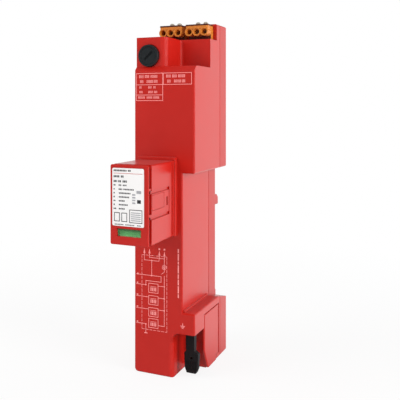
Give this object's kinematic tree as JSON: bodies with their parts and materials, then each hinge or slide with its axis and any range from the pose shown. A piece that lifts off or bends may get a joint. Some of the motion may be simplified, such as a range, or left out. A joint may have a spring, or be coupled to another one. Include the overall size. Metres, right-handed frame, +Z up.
{
  "type": "combined surge arrester for busbars",
  "caption": "Red busbar-mounted surge arrester: tall housing with plug-in module, fuse cap, terminals, earth clamp behind a flap, and lock slider.",
  "frame": {"origin": "centre of the bounding box's footprint, on the plane of the housing's flat bottom", "axes": "+Z up along the housing's height, -Y out of the front face with the plug-in module, +Y towards the busbars, +X towards the earth clamp side"},
  "size_m": [0.045, 0.1084, 0.2423],
  "materials": {
    "red_housing": "fine satin moulded thermoplastic",
    "red_base": "satin moulded thermoplastic",
    "black_polyamide": "satin moulded polyamide",
    "orange_polyamide": "satin moulded polyamide",
    "grey_polyamide": "satin moulded polyamide",
    "green_indicator": "satin",
    "clear_polycarbonate": "clear, glossy",
    "tinned_copper": "tin plated, satin",
    "zinc_plated_steel": "zinc plated, satin",
    "white_ceramic": "glazed ceramic",
    "moulded_block": "matt moulded resin"
  },
  "bodies": {
    "base": {"front_housing": "red_housing", "rear_base": "red_base", "housing_screw_1": "zinc_plated_steel", "housing_screw_2": "zinc_plated_steel", "housing_screw_3": "zinc_plated_steel", "housing_screw_4": "zinc_plated_steel", "busbar_claw_1": "tinned_copper", "busbar_claw_2": "tinned_copper", "busbar_claw_3": "tinned_copper", "busbar_claw_4": "tinned_copper", "arrester_cartridge_1": "moulded_block", "arrester_cartridge_2": "moulded_block", "arrester_cartridge_3": "moulded_block", "arrester_cartridge_4": "moulded_block", "earth_bar": "tinned_copper", "earth_lead": "tinned_copper", "fuse_holder": "black_polyamide", "fuse_contact": "tinned_copper", "terminal_block_left": "orange_polyamide", "terminal_block_right": "orange_polyamide", "terminal_contact_left": "tinned_copper", "terminal_contact_right": "tinned_copper", "module_socket_line": "tinned_copper", "module_socket_earth": "tinned_copper"},
    "module": {"module_case": "red_housing", "module_front": "red_housing", "status_window": "clear_polycarbonate", "status_backing": "red_housing", "module_arrester": "white_ceramic", "module_blade_line": "tinned_copper", "module_blade_earth": "tinned_copper"},
    "release_button_left": {"release_button_left": "red_housing"},
    "release_button_right": {"release_button_right": "red_housing"},
    "status_flag": {"status_flag": "green_indicator"},
    "fuse_link": {"fuse_link": "white_ceramic"},
    "fuse_cap": {"fuse_cap": "black_polyamide"},
    "terminal_pusher_1": {"terminal_pusher_1": "grey_polyamide"},
    "terminal_pusher_2": {"terminal_pusher_2": "grey_polyamide"},
    "terminal_pusher_3": {"terminal_pusher_3": "grey_polyamide"},
    "terminal_pusher_4": {"terminal_pusher_4": "grey_polyamide"},
    "lock_slider": {"lock_slider": "black_polyamide"},
    "earth_flap": {"earth_flap": "red_housing"},
    "clamp_screw": {"clamp_screw": "zinc_plated_steel"},
    "clamp_cage": {"clamp_cage": "zinc_plated_steel"}
  },
  "joints": [
    {"name": "module_pull", "type": "slide", "parent": "base", "child": "module", "axis": [0, -1, 0], "range_m": [0, 0.06]},
    {"name": "release_button_left_press", "type": "slide", "parent": "module", "child": "release_button_left", "axis": [1, 0, 0], "range_m": [0, 0.0012], "stiffness_N_per_m": 400},
    {"name": "release_button_right_press", "type": "slide", "parent": "module", "child": "release_button_right", "axis": [-1, 0, 0], "range_m": [0, 0.0012], "stiffness_N_per_m": 400},
    {"name": "status_flag_slide", "type": "slide", "parent": "module", "child": "status_flag", "axis": [0, 0, 1], "range_m": [0, 0.0055]},
    {"name": "fuse_pull", "type": "slide", "parent": "base", "child": "fuse_link", "axis": [0, -1, 0], "range_m": [0, 0.045]},
    {"name": "fuse_cap_turn", "type": "hinge", "parent": "fuse_link", "child": "fuse_cap", "pos_m": [-0.0128, -0.01345, 0.2168], "axis": [0, -1, 0], "range_deg": [0, 90]},
    {"name": "terminal_pusher_1_press", "type": "slide", "parent": "base", "child": "terminal_pusher_1", "axis": [0, 0, -1], "range_m": [0, 0.0012], "stiffness_N_per_m": 400},
    {"name": "terminal_pusher_2_press", "type": "slide", "parent": "base", "child": "terminal_pusher_2", "axis": [0, 0, -1], "range_m": [0, 0.0012], "stiffness_N_per_m": 400},
    {"name": "terminal_pusher_3_press", "type": "slide", "parent": "base", "child": "terminal_pusher_3", "axis": [0, 0, -1], "range_m": [0, 0.0012], "stiffness_N_per_m": 400},
    {"name": "terminal_pusher_4_press", "type": "slide", "parent": "base", "child": "terminal_pusher_4", "axis": [0, 0, -1], "range_m": [0, 0.0012], "stiffness_N_per_m": 400},
    {"name": "lock_slide", "type": "slide", "parent": "base", "child": "lock_slider", "axis": [0, 0, -1], "range_m": [0, 0.005], "stiffness_N_per_m": 600},
    {"name": "flap_hinge", "type": "hinge", "parent": "base", "child": "earth_flap", "pos_m": [0.0209, 0.02815, 0.0194], "axis": [0, 0, 1], "range_deg": [0, 90]},
    {"name": "clamp_screw_turn", "type": "hinge", "parent": "base", "child": "clamp_screw", "pos_m": [0.0131, 0.01855, 0.0135], "axis": [1, 0, 0], "range_deg": [0, 1350]},
    {"name": "clamp_rise", "type": "slide", "parent": "base", "child": "clamp_cage", "axis": [1, 0, 0], "range_m": [0, 0.003]}
  ],
  "couplings": [
    {"joint": "clamp_screw_turn", "follows": "clamp_rise", "rad_per_m": 7854}
  ]
}
